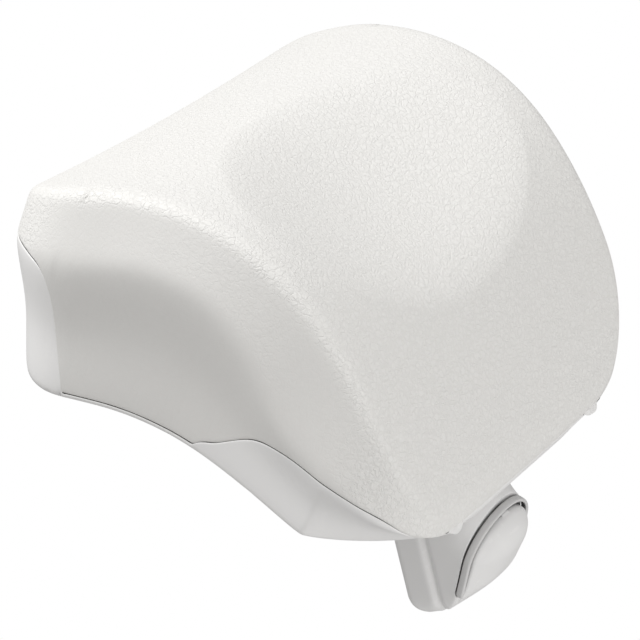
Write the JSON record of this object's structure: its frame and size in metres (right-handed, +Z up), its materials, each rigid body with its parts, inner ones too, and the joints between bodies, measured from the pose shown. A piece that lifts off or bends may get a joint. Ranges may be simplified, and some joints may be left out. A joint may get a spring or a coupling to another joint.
{
  "type": "chair headrest attachment",
  "caption": "Chair headrest with a dished white leather-grain foam pad, smooth back shell and a tilting arm that plugs onto a flat tongue",
  "frame": {"origin": "Middle of the whole object's box.", "axes": "+X to the right of the chair for a viewer facing the pad front, -Y is the side the head rests on, +Z up along the flat back of the pad"},
  "size_m": [0.258, 0.1582, 0.2206],
  "materials": {
    "leather": "pebbled warm-white integral skin over foam, finer streaked grain on the sides",
    "shell": "smooth satin warm-white moulded plastic",
    "trim": "smooth satin white plastic, a shade lighter",
    "inner": "dark grey moulded nylon",
    "nylon": "natural ivory nylon",
    "cast": "fine blasted cast aluminium",
    "steel": "zinc-plated machined steel"
  },
  "bodies": {
    "mount_arm": {"arm_core": "cast", "socket_liner": "nylon", "socket_bezel": "shell", "pod_housing": "shell", "trim_band": "trim", "housing_screw_left": "steel", "housing_screw_right": "steel", "axle_bush_left": "nylon", "axle_bush_right": "nylon", "latch_pin": "steel", "paddle_pin": "steel", "latch_spring": "steel"},
    "headrest": {"cushion": "leather", "back_shell": "shell", "carrier_plate": "inner", "hinge_bracket": "cast", "tilt_axle": "steel", "axle_nut": "steel", "spring_washer": "steel", "friction_washer_left": "nylon", "friction_washer_right": "nylon", "shell_screw_1": "steel", "shell_screw_2": "steel", "shell_screw_3": "steel", "shell_screw_4": "steel", "bracket_screw_1": "steel", "bracket_screw_2": "steel", "bracket_screw_3": "steel", "bracket_screw_4": "steel"},
    "paddle": {"release_paddle": "shell"},
    "latch": {"latch_lever": "cast"}
  },
  "joints": [
    {"name": "head_tilt", "type": "hinge", "parent": "mount_arm", "child": "headrest", "pos_m": [0, 0.0123, -0.06775], "axis": [1, 0, 0], "range_deg": [-20, 10], "stiffness_Nm_per_rad": 12},
    {"name": "paddle_press", "type": "hinge", "parent": "mount_arm", "child": "paddle", "pos_m": [0, 0.06023, -0.09995], "axis": [-1, 0, 0], "range_deg": [0, 5], "stiffness_Nm_per_rad": 0.02, "springref_deg": -5.73},
    {"name": "latch_swing", "type": "hinge", "parent": "mount_arm", "child": "latch", "pos_m": [0, 0.0383, -0.08875], "axis": [-1, 0, 0], "range_deg": [0, 15]}
  ],
  "couplings": [
    {"joint": "latch_swing", "follows": "paddle_press", "ratio": 3}
  ]
}
